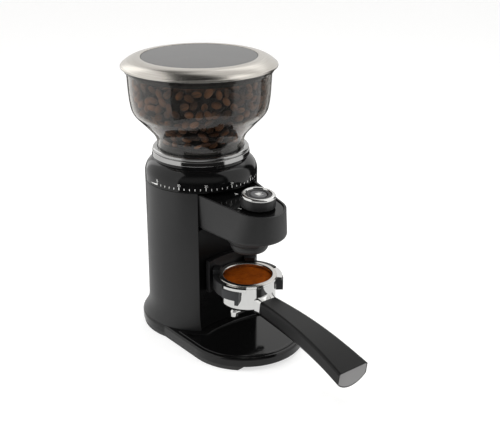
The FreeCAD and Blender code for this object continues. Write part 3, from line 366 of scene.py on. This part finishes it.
def bean_points(length, width, depth):
    """Bean about its own centre: domed above, flat below with a curved crease."""
    around = (0, 30, 60, 90, 120, 150, 180, 214, 240, 256, 270, 284, 300, 326)
    along = (-78, -58, -38, -19, 0, 19, 38, 58, 78)
    rings = []
    for v in along:
        x = length * math.sin(math.radians(v))
        share = math.cos(math.radians(v)) ** 0.9
        bend = 0.10 * width * math.sin(2.2 * x / length)
        ring = []
        for t in around:
            y = width * share * math.cos(math.radians(t))
            z = depth * share * math.sin(math.radians(t))
            groove = 0.0
            if z < 0:
                z *= FLAT_SHARE
                groove = math.exp(-((y - bend) / (CREASE_WIDTH * width)) ** 2) * share
                z += CREASE_DEPTH * depth * groove
            ring.append((Vector((x, y, z)), groove))
        rings.append(ring)
    return (Vector((-length, 0, 0)), 0.0), rings, (Vector((length, 0, 0)), 0.0)


def add_bean(bm, place, size, tone, limit, top):
    """One bean, kept inside limit(z), the heap's radius at a height; top is the heap's highest z."""
    tones, creases = bm.verts.layers.float["tone"], bm.verts.layers.float["crease"]
    painted_light_layer = bm.verts.layers.float["open"]
    start, rings, end = bean_points(*size)

    def vert(item):
        point = place @ item[0]
        away = Vector((point.x - AXIS.x, point.y - AXIS.y))
        reach = limit(point.z)
        if away.length > reach:
            away *= reach / away.length
            point = Vector((AXIS.x + away.x, AXIS.y + away.y, point.z))
        made = bm.verts.new(point)
        made[tones] = tone
        # Painted shade: 'open' falls from 1 to 0 over SHADE_DEPTH below the heap's side or top.
        made[painted_light_layer] = max(0.0, 1.0 - min(reach - away.length, top - point.z) / SHADE_DEPTH)
        made[creases] = item[1]
        return made

    rows = [[vert(item) for item in ring] for ring in rings]
    tip, tail = vert(start), vert(end)
    count = len(rows[0])
    for row, after in zip(rows, rows[1:]):
        for i in range(count):
            j = (i + 1) % count
            bm.faces.new((row[i], row[j], after[j], after[i]))
    for i in range(count):
        j = (i + 1) % count
        bm.faces.new((tip, rows[0][j], rows[0][i]))
        bm.faces.new((tail, rows[-1][i], rows[-1][j]))


SHOULDER_SHARE = 0.97
HEAP_STEP = 0.8 * MM
BEAN = (5.3 * MM, 3.75 * MM, 2.7 * MM)
BEAN_SPACING = 7.9 * MM
BEAN_LEAN = 0.45
LAYERS = (0.0, 5.5 * MM)
SIDE_TRIES = 9000
TOP_TRIES = 3000
SHADE_DEPTH = 5.2 * MM
CORE_GAP = 9.0 * MM
CORE_TOP_GAP = 8.0 * MM


def widest_points(node, step):
    """Largest radius about the main axis in each band of height of a node, from the top down."""
    found = {}
    for v in frame["nodes"][node].data.vertices:
        r = math.hypot(v.co.x - AXIS.x, v.co.y - AXIS.y)
        key = round(v.co.z / step)
        if r > found.get(key, (0.0, 0.0))[0]:
            found[key] = (r, v.co.z)
    return sorted(found.values(), key=lambda p: -p[1])


def heap_outline():
    """Outside of the bean heap from its shoulder down, read from the CAD solid, as (radius, height)."""
    points = widest_points("coffee_beans", HEAP_STEP)
    widest = max(points)[0]
    shoulder = max(z for r, z in points if r > SHOULDER_SHARE * widest)
    return [p for p in points if p[1] <= shoulder]


def outline_radius(outline):
    """Function that gives the radius of an outline, listed from the top down, at a height."""
    def radius(z):
        for (r0, z0), (r1, z1) in zip(outline, outline[1:]):
            if z0 >= z >= z1:
                return r0 + (r1 - r0) * (z0 - z) / max(z0 - z1, 1e-9)
        return outline[0][0] if z > outline[0][1] else outline[-1][0]
    return radius


def turned(outward, twist, flip):
    """Rotation matrix: the bean's flat side along outward, turned by twist about it."""
    helper = Vector((0, 0, 1)) if abs(outward.z) < 0.9 else Vector((1, 0, 0))
    side = outward.cross(helper).normalized()
    up = side.cross(outward).normalized()
    turn = Matrix((side, up, outward)).transposed()
    over = Matrix.Rotation(math.pi if flip else 0.0, 3, "X")
    return turn @ Matrix.Rotation(twist, 3, "Z") @ over


def reach_along(turn, size, way):
    """How far an ellipsoid of three half sizes reaches from its centre along a way."""
    return math.sqrt(sum((half * turn.col[k].dot(way)) ** 2 for k, half in enumerate(size)))


class Crowd:
    """Places already taken, so that beans keep their distance."""

    def __init__(self, spacing):
        self.spacing = spacing
        self.cells = {}

    def key(self, point):
        return tuple(int(math.floor(c / self.spacing)) for c in point)

    def takes(self, point):
        kx, ky, kz = self.key(point)
        for i in (-1, 0, 1):
            for j in (-1, 0, 1):
                for k in (-1, 0, 1):
                    for other in self.cells.get((kx + i, ky + j, kz + k), ()):
                        if (other - point).length < self.spacing:
                            return False
        self.cells.setdefault((kx, ky, kz), []).append(point)
        return True


def scatter_beans():
    """Two layers of loose beans along the heap's side and top, round a dark core that is painted shade for
    the heap's inside.
    """
    outline = heap_outline()
    radius_at = outline_radius(outline)
    low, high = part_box("coffee_beans")
    shoulder = outline[0][1]
    bm = bmesh.new()
    bm.verts.layers.float.new("tone")
    bm.verts.layers.float.new("crease")
    # 'open' holds painted shade: how far each bean vertex lies below the heap's skin.
    bm.verts.layers.float.new("open")
    crowd = Crowd(BEAN_SPACING)

    def drop(surface, outward, lean):
        """Put one bean under a point of the heap's skin, touching it from inside."""
        scale = RNG.uniform(0.90, 1.10)
        size = tuple(half * scale for half in BEAN)
        flat = (outward + lean).normalized()
        turn = turned(flat, RNG.uniform(0, 6.28), RNG.random() < 0.5)
        centre = surface - outward * (reach_along(turn, size, outward) + RNG.random() * MM)
        if crowd.takes(centre):
            place = Matrix.Translation(centre) @ turn.to_4x4()
            add_bean(bm, place, size, RNG.random(), radius_at, high.z)

    def sway():
        return Vector([RNG.uniform(-BEAN_LEAN, BEAN_LEAN) for _ in range(3)])

    for depth in LAYERS:
        for _ in range(SIDE_TRIES):
            z = RNG.uniform(low.z + 2.0 * MM, shoulder)
            a = RNG.uniform(0, 2 * math.pi)
            slope = (radius_at(z + MM) - radius_at(z - MM)) / (2 * MM)
            outward2 = Vector((1.0, -slope)).normalized()
            outward = Vector((math.cos(a) * outward2.x, math.sin(a) * outward2.x, outward2.y))
            skin = Vector((AXIS.x + radius_at(z) * math.cos(a), AXIS.y + radius_at(z) * math.sin(a), z))
            drop(skin - outward * depth, outward, sway())
    for depth in LAYERS:
        for _ in range(TOP_TRIES):
            r = (radius_at(shoulder) - 4.0 * MM) * math.sqrt(RNG.random())
            a = RNG.uniform(0, 2 * math.pi)
            skin = Vector((AXIS.x + r * math.cos(a), AXIS.y + r * math.sin(a), high.z - depth))
            drop(skin, Vector((0, 0, 1)), sway())
    beans = mesh_object("loose_beans", bm, 75.0)
    finish_piece(beans, "hopper", "bean_brown")
    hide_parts("coffee_beans")
    # Painted shade: a near-black solid inside the heap stands in for the shade between the deeper beans.
    core = bmesh.new()
    inner = [(max(r - CORE_GAP, 2 * MM), z) for r, z in outline if z < high.z - CORE_TOP_GAP]
    lathe(core, [(0.0, inner[0][1])] + inner[::3] + [(0.0, inner[-1][1])], AXIS, 64)
    painted_shade_core = mesh_object("bean_painted_shade_core", core, 60.0)
    finish_piece(painted_shade_core, "hopper", "bean_brown", HEAP_SHADOW)


def lathe(bm, profile, centre, segments):
    """Turn a (radius, height) profile about a vertical axis; radius 0 makes a pole."""
    rows = []
    for r, z in profile:
        if r < 1e-7:
            rows.append([bm.verts.new((centre.x, centre.y, z))])
            continue
        row = []
        for i in range(segments):
            a = 2 * math.pi * i / segments
            row.append(bm.verts.new((centre.x + r * math.cos(a), centre.y + r * math.sin(a), z)))
        rows.append(row)
    for row, after in zip(rows, rows[1:]):
        for i in range(segments):
            j = (i + 1) % segments
            corners = [row[i % len(row)], row[j % len(row)], after[j % len(after)], after[i % len(after)]]
            face = list(dict.fromkeys(corners))
            if len(face) > 2:
                bm.faces.new(face)
    return rows


# ---------------------------------------------------------------- ground coffee in the basket

GROUNDS_RISE = 0.48
GROUNDS_UNDERSIDE = 5.4 * MM


def fill_basket():
    """Levelled ground coffee with a grainy top, closed below inside the CAD solid."""
    low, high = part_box("coffee_grounds")
    radius = (high.x - low.x) / 2
    top = high.z - 0.5 * MM
    bottom = low.z + GROUNDS_UNDERSIDE
    rings, segments = 46, 160
    profile = [(radius * k / rings, top) for k in range(rings + 1)]
    profile += [(radius, top - 3 * MM), (radius - 0.2 * MM, bottom), (0.0, bottom)]
    bm = bmesh.new()
    rows = lathe(bm, profile, CUP, segments)
    for k, row in enumerate(rows[:rings + 1]):
        rim = max(0.0, (k / rings - 0.9) * 10)
        for v in row:
            p = v.co * 1000
            swell = 0.35 * noise.noise(p * 0.16) + 0.18 * noise.noise(p * 0.5)
            grains = 0.22 * abs(noise.noise(p * 1.7)) + 0.12 * noise.noise(p * 3.1)
            v.co.z += MM * min(GROUNDS_RISE, (swell + grains) * (1 - 0.6 * rim) - 0.35 * rim)
    heap = mesh_object("tamped_grounds", bm, 80.0)
    finish_piece(heap, "portafilter", "ground_coffee")
    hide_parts("coffee_grounds")


# ---------------------------------------------------------------- printed scale on the setting ring

RING_STEP = 0.25 * MM


def ring_outline():
    """Outside of the setting ring from its top down, never narrowing, as (radius, height)."""
    kept = []
    widest = 0.0
    for r, z in widest_points("grind_ring", RING_STEP):
        widest = max(widest, r)
        kept.append((widest, z))
    return kept


ring_radius = outline_radius(ring_outline())
PRINT_RISE = 0.05 * MM
PRINT_ROOT = 0.25 * MM


def on_ring(angle, z, rise):
    """Point on the ring; the angle in degrees runs from the front, -Y, round towards -X."""
    r = ring_radius(z) + rise
    a = math.radians(angle)
    return Vector((AXIS.x - r * math.sin(a), AXIS.y - r * math.cos(a), z))


def ring_patch(bm, corners):
    slab(bm, corners, lambda p: on_ring(p[0], p[1], -PRINT_ROOT), lambda p: on_ring(p[0], p[1], PRINT_RISE))


def glyph_mesh(text, size):
    """Flat mesh of a short text, centred across."""
    curve = bpy.data.curves.new("glyph", "FONT")
    curve.body = text
    curve.size = size
    curve.align_x = "CENTER"
    curve.resolution_u = 4
    holder = bpy.data.objects.new("glyph", curve)
    bpy.context.scene.collection.objects.link(holder)
    bpy.context.view_layer.update()
    data = bpy.data.meshes.new_from_object(holder)
    bpy.data.objects.remove(holder)
    return data


SCALE_STEP = 5.4
SCALE_START = 85.2
SCALE_MARKS = 31
SCALE_TOP_NUMBER = 35
MARKS_PER_NUMBER = 5


def scale_marks(bm, base):
    """Short ticks, with a longer one at each number, as (height in mm, half width in degrees)."""
    for k in range(SCALE_MARKS):
        angle = SCALE_START - SCALE_STEP * k
        height, half = (3.0, 0.42) if k % MARKS_PER_NUMBER == 0 else (2.0, 0.34)
        start, end, top = angle + half, angle - half, base + height * MM
        ring_patch(bm, [(start, base), (end, base), (end, top), (start, top)])


def scale_wedge(bm, base):
    """Bar before the scale that grows thicker away from it."""
    bar = [(SCALE_START + 11.0 - 2.2 * i, 0.25 + 0.25 * i) for i in range(6)]
    for (a0, h0), (a1, h1) in zip(bar, bar[1:]):
        ring_patch(bm, [(a0, base), (a1, base), (a1, base + h1 * MM), (a0, base + h0 * MM)])


def scale_number(bm, index, base):
    """One raised number, bent onto the ring above its tick."""
    angle = SCALE_START - SCALE_STEP * index
    glyph = bmesh.new()
    glyph.from_mesh(glyph_mesh(str(SCALE_TOP_NUMBER - index), 3.4 * MM))
    bmesh.ops.remove_doubles(glyph, verts=glyph.verts, dist=1e-6)
    top = bmesh.ops.extrude_face_region(glyph, geom=glyph.faces[:])
    raised = {v for v in top["geom"] if isinstance(v, bmesh.types.BMVert)}
    for v in glyph.verts:
        z = base + 3.7 * MM + v.co.y
        spot = angle - math.degrees(v.co.x / ring_radius(z))
        v.co = on_ring(spot, z, PRINT_RISE if v in raised else -PRINT_ROOT)
    solid = bpy.data.meshes.new("glyph_solid")
    glyph.to_mesh(solid)
    glyph.free()
    bm.from_mesh(solid)


def dial_print():
    base = RING_LOW.z + 2.5 * MM
    bm = bmesh.new()
    scale_marks(bm, base)
    scale_wedge(bm, base)
    for index in range(0, SCALE_MARKS, MARKS_PER_NUMBER):
        scale_number(bm, index, base)
    finish_piece(mesh_object("dial_print", bm, 30.0), "setting_ring", "gloss_black", PRINT)


# ---------------------------------------------------------------- prints on the head and the button

def head_print():
    """Pointer for the scale and a start mark beside the knob, on the sloping panel."""
    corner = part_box("head_top_panel")[1]
    slope = KNOB_AXIS.y / KNOB_AXIS.z

    def on_panel(p, rise):
        z = corner.z - slope * (p[1] - corner.y)
        return Vector((p[0], p[1], z)) + KNOB_AXIS * rise

    bm = bmesh.new()
    front = RING_LOW.y + 2.0 * MM
    triangle = [(0.0, front), (-1.9 * MM, front - 4.2 * MM), (1.9 * MM, front - 4.2 * MM)]
    mark_y = KNOB_FOOT.y + 7.0 * MM
    mark = [
        (-19.6 * MM, mark_y),
        (-18.9 * MM, mark_y + 0.9 * MM),
        (-17.0 * MM, mark_y - 2.6 * MM),
        (-17.8 * MM, mark_y - 3.4 * MM),
    ]
    for outline in (triangle, mark):
        slab(bm, outline, lambda p: on_panel(p, -PRINT_ROOT), lambda p: on_panel(p, PRINT_RISE))
    finish_piece(mesh_object("head_print", bm), "base", "gloss_black", PRINT)


def button_top():
    """Height of the button's face above the foot of the knob's axis."""
    return max((v.co - KNOB_FOOT).dot(KNOB_AXIS) for v in frame["nodes"]["start_button"].data.vertices)


def button_icon():
    """Plain cup sign on the start button: bowl, handle and saucer, drawn in mm."""
    across = Vector((1, 0, 0))
    along = KNOB_AXIS.cross(across).normalized()
    centre = KNOB_FOOT + KNOB_AXIS * button_top()

    def at(p, rise):
        return centre + across * (p[0] * MM) + along * (p[1] * MM) + KNOB_AXIS * rise

    bowl = [(-3.0, 2.6), (3.0, 2.6), (2.1, -1.6), (1.2, -2.2), (-1.2, -2.2), (-2.1, -1.6)]
    handle_outside = [(3.1, 2.0), (4.6, 1.6), (4.6, 0.2), (2.8, -0.6)]
    handle_inside = [(2.9, 0.1), (3.9, 0.6), (3.9, 1.2), (3.0, 1.4)]
    saucer = [(-3.6, -3.0), (3.6, -3.0), (3.6, -3.6), (-3.6, -3.6)]
    bm = bmesh.new()
    for outline in (bowl, handle_outside + handle_inside, saucer):
        slab(bm, outline, lambda p: at(p, -PRINT_ROOT), lambda p: at(p, PRINT_RISE))
    finish_piece(mesh_object("button_icon", bm), "button", "button_grey", PRINT)


# ---------------------------------------------------------------- light, floor and camera

def world_math(tree, operation, *values):
    """Math node of the world; each value is a number or a socket."""
    node = tree.nodes.new("ShaderNodeMath")
    node.operation = operation
    for socket, value in zip(node.inputs, values):
        if isinstance(value, bpy.types.NodeSocket):
            tree.links.new(value, socket)
        else:
            socket.default_value = value
    return node.outputs[0]


def panel(tree, direction, centre, half_width, half_height, soft):
    """Brightness of a rectangular light panel far away, seen along direction."""
    out = Vector(centre).normalized()
    right = out.cross(Vector((0, 0, 1))).normalized()
    up = right.cross(out)

    def dot(axis):
        node = tree.nodes.new("ShaderNodeVectorMath")
        node.operation = "DOT_PRODUCT"
        tree.links.new(direction, node.inputs[0])
        node.inputs[1].default_value = axis
        return node.outputs["Value"]

    ahead = world_math(tree, "MAXIMUM", dot(out), 0.001)
    inside = []
    for axis, half in ((right, half_width), (up, half_height)):
        away = world_math(tree, "ABSOLUTE", world_math(tree, "DIVIDE", dot(axis), ahead))
        ramp = tree.nodes.new("ShaderNodeMapRange")
        ramp.interpolation_type = "SMOOTHSTEP"
        tree.links.new(away, ramp.inputs[0])
        ramp.inputs[1].default_value = half + soft
        ramp.inputs[2].default_value = half - soft
        inside.append(ramp.outputs[0])
    in_front = world_math(tree, "GREATER_THAN", dot(out), 0.01)
    return world_math(tree, "MULTIPLY", world_math(tree, "MULTIPLY", *inside), in_front)


VIEW_AZIMUTH = -38.7
VIEW_PITCH = 19.1
VIEW_DISTANCE = 0.93
VIEW_TARGET_HEIGHT = 0.1945
VIEW_TARGET_Y = -0.0054
FOCAL_PIXELS = 930.0
FRAME_WIDTH = 500
SHIFT_UP = -0.1


def around(degrees, height=0.0):
    """Direction on the compass, counted from the camera's side towards its left."""
    a = math.radians(VIEW_AZIMUTH) - math.radians(degrees)
    return Vector((math.sin(a), -math.cos(a), height))


PANELS = [
    (around(97.0), 1.33, 2.3, 0.06, 1.0),
    (around(-88.0), 0.57, 2.3, 0.06, 1.0),
    (around(-142.0, 1.4), 0.45, 0.40, 0.10, 0.8),
    (around(180.0, 0.35), 0.9, 0.55, 0.10, 0.85),
    (around(0.0, 0.5), 1.0, 0.34, 0.25, 0.28),
]
ROOM_LEVEL = 0.02


def room_light(tree, direction):
    """Dark room with soft panels, each as (middle, half width, half height, softness, power)."""
    total = ROOM_LEVEL
    for *shape, power in PANELS:
        level = panel(tree, direction, *shape)
        total = world_math(tree, "MULTIPLY_ADD", level, power, total)
    return total


def studio():
    """Room of light panels for surfaces, a white one for the camera, and three soft lamps."""
    scene = bpy.context.scene
    scene.view_settings.view_transform = "Standard"
    world = bpy.data.worlds.new("studio")
    scene.world = world
    world.use_nodes = True
    tree = world.node_tree
    background = tree.nodes["Background"]
    direction = tree.nodes.new("ShaderNodeTexCoord").outputs["Generated"]
    seen = tree.nodes.new("ShaderNodeLightPath").outputs["Is Camera Ray"]
    pick = tree.nodes.new("ShaderNodeMix")
    tree.links.new(seen, pick.inputs[0])
    tree.links.new(room_light(tree, direction), pick.inputs[2])
    pick.inputs[3].default_value = 1.0
    tree.links.new(pick.outputs[0], background.inputs["Strength"])
    background.inputs["Color"].default_value = (1, 0.995, 0.985, 1)
    soft_light("top_light", Vector((AXIS.x, AXIS.y, 1.3)), Vector((0, 0, -1)), 1.1, 9.0)
    for name, degrees in (("left_light", 75.0), ("right_light", -80.0)):
        side = around(degrees, 0.35)
        soft_light(name, side * 1.2, -side, 0.9, 7.0)


def soft_light(name, place, direction, size, power):
    """Square lamp that shapes the surfaces but isn't seen in them."""
    light = bpy.data.lights.new(name, "AREA")
    light.shape = "SQUARE"
    light.size = size
    light.energy = power
    lamp = bpy.data.objects.new(name, light)
    lamp.location = place
    lamp.rotation_euler = direction.to_track_quat("-Z", "Y").to_euler()
    lamp.visible_glossy = False
    lamp.visible_camera = False
    bpy.context.scene.collection.objects.link(lamp)


PALE_DARK = (0.46, 0.46, 0.455)
PALE_LIGHT = (0.50, 0.50, 0.495)


def pale_disc(name, radius, height, glow):
    bm = bmesh.new()
    bmesh.ops.create_circle(bm, cap_ends=True, segments=96, radius=radius)
    disc = mesh_object(name, bm)
    disc.location.z = height
    n = Nodes(name + "_look")
    speck = n.noise(60.0, 4.0)
    n.set(Base_Color=n.tint(speck, PALE_DARK, PALE_LIGHT), Roughness=n.span(speck, 0.7, 0.85))
    n.shader.inputs["Specular IOR Level"].default_value = 0.1
    n.shader.inputs["Emission Color"].default_value = (1, 1, 1, 1)
    n.shader.inputs["Emission Strength"].default_value = glow
    disc.data.materials.append(n.material)
    return disc


def floor():
    """Wide floor for the eye, and a table-sized one that shows in polished surfaces."""
    ground = pale_disc("floor", 9.0, 0.0, 0.62)
    ground.visible_glossy = False
    table = pale_disc("table_glow", 0.42, -0.2 * MM, 0.45)
    table.visible_camera = False
    table.visible_diffuse = False
    table.visible_transmission = False
    table.visible_shadow = False


def camera():
    """Photo's side view: looks down on the object from its left front."""
    pitch = math.radians(VIEW_PITCH)
    back = around(0.0) * math.cos(pitch) + Vector((0, 0, math.sin(pitch)))
    target = Vector((0.0, VIEW_TARGET_Y, VIEW_TARGET_HEIGHT))
    data = bpy.data.cameras.new("camera")
    data.sensor_width = 36.0
    data.lens = FOCAL_PIXELS / FRAME_WIDTH * data.sensor_width
    data.shift_y = SHIFT_UP
    eye = bpy.data.objects.new("camera", data)
    eye.location = target + back * VIEW_DISTANCE
    eye.rotation_euler = (-back).to_track_quat("-Z", "Y").to_euler()
    bpy.context.scene.collection.objects.link(eye)
    bpy.context.scene.camera = eye


# ---------------------------------------------------------------- the scene

scatter_beans()
fill_basket()
dial_print()
head_print()
button_icon()
studio()
floor()
camera()
